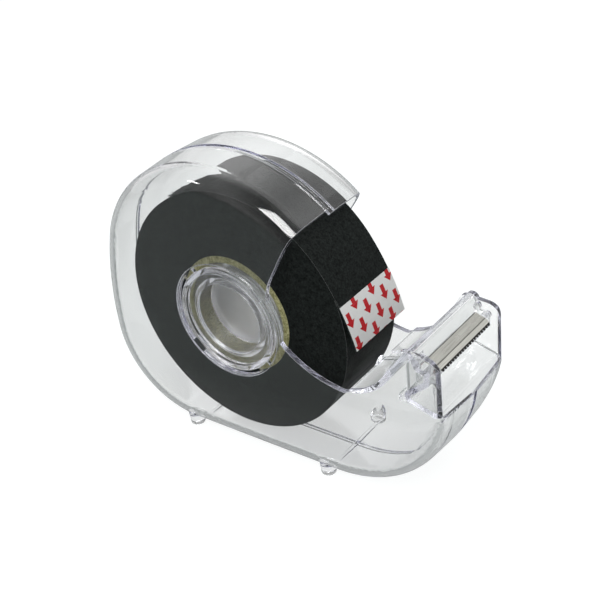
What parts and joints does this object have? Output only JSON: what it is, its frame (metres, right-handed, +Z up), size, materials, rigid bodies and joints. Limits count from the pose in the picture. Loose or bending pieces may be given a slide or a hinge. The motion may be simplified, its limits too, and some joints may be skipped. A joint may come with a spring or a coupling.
{
  "type": "tape dispenser",
  "caption": "Clear snail-shaped hand dispenser holding a roll of dark magnetic tape, with a serrated metal cutter and a starter tab.",
  "frame": {"origin": "on the table under the middle of the outline, at the bottom of the four feet", "axes": "+X forward to the cutter, +Y across the case to the right half, +Z up"},
  "size_m": [0.0952, 0.0274, 0.0722],
  "materials": {
    "clear_plastic": "clear moulded polystyrene, polished",
    "blade_steel": "satin sheet steel",
    "core_board": "wound board, matte",
    "magnet_tape": "dark flexible magnet, fine grain",
    "tab_film": "white film with red arrows"
  },
  "bodies": {
    "right_half": {"right_case_half": "clear_plastic"},
    "left_half": {"left_case_half": "clear_plastic", "cutter_blade": "blade_steel"},
    "roll": {"wound_tape": "magnet_tape", "roll_core": "core_board", "starter_tab": "tab_film"}
  },
  "joints": [
    {"name": "roll_spin", "type": "hinge", "parent": "right_half", "child": "roll", "pos_m": [-0.00831, 0, 0.036], "axis": [0, 1, 0], "continuous": true},
    {"name": "case_open", "type": "slide", "parent": "right_half", "child": "left_half", "axis": [0, -1, 0], "range_m": [0, 0.03]}
  ]
}
